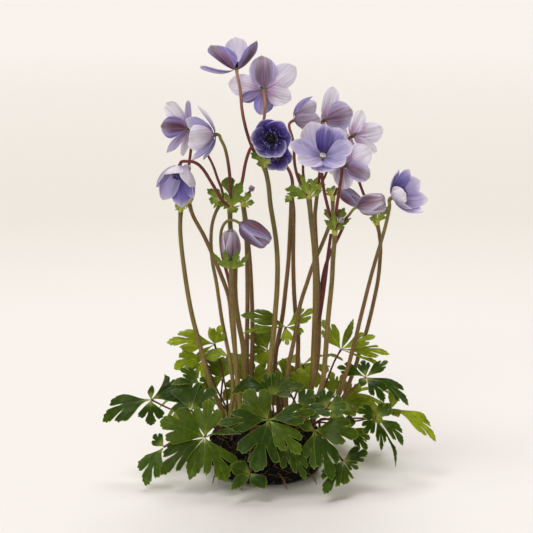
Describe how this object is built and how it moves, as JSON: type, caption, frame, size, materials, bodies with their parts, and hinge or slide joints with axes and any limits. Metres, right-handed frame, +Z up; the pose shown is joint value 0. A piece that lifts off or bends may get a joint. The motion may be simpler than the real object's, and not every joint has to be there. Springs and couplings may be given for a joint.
{
  "type": "wood anemone plant with root ball",
  "caption": "Flowering wood anemone lifted with its root ball: lilac-blue star blooms and nodding buds on slender scapes above a mound of lobed, toothed leaves.",
  "frame": {"origin": "centre of the flat underside of the root ball, where the plant rests", "axes": "+Z up along the scapes, +X to the right and -Y toward the viewer as the plant is seen in the picture"},
  "size_m": [0.266, 0.1685, 0.3523],
  "materials": {
    "petal": "satin",
    "stamen": "matte",
    "stem": "satin",
    "leaf": "satin",
    "soil": "matte"
  },
  "bodies": {
    "root": {"root_ball": "soil", "stem_far_left": "stem", "stem_left": "stem", "stem_thin_left": "stem", "stem_left_middle": "stem", "stem_buds_left": "stem", "stem_middle": "stem", "stem_tall": "stem", "stem_pair_centre": "stem", "stem_right_middle": "stem", "stem_right_back": "stem", "stem_front_right": "stem", "stem_leaning": "stem", "stem_far_right": "stem", "bloom_top": "petal", "bloom_upper": "petal", "bloom_dark_eye": "petal", "bloom_low_cup": "petal", "bloom_half_open": "petal", "bloom_upper_right": "petal", "bloom_bowl": "petal", "bloom_right": "petal", "bloom_right_low": "petal", "bloom_far_right": "petal", "bloom_left": "petal", "bloom_left_cup": "petal", "bloom_nodding": "petal", "eye_top": "stamen", "eye_upper": "stamen", "eye_dark_eye": "stamen", "eye_low_cup": "stamen", "eye_half_open": "stamen", "eye_upper_right": "stamen", "eye_bowl": "stamen", "eye_right": "stamen", "eye_right_low": "stamen", "eye_far_right": "stamen", "eye_left": "stamen", "eye_left_cup": "stamen", "eye_nodding": "stamen", "bud_striped": "petal", "bud_parting": "petal", "bud_nodding": "petal", "bud_upright": "petal", "leaf_far_left": "leaf", "leaf_left_fan": "leaf", "leaf_front_left": "leaf", "leaf_front": "leaf", "leaf_front_upper": "leaf", "leaf_low_front": "leaf", "leaf_front_right": "leaf", "leaf_right": "leaf", "leaf_right_far": "leaf", "leaf_right_arching": "leaf", "leaf_right_upper": "leaf", "leaf_middle_upper": "leaf", "leaf_left_upper": "leaf", "leaf_back_right": "leaf", "leaf_front_stems": "leaf", "leaf_back": "leaf"}
  },
  "joints": []
}
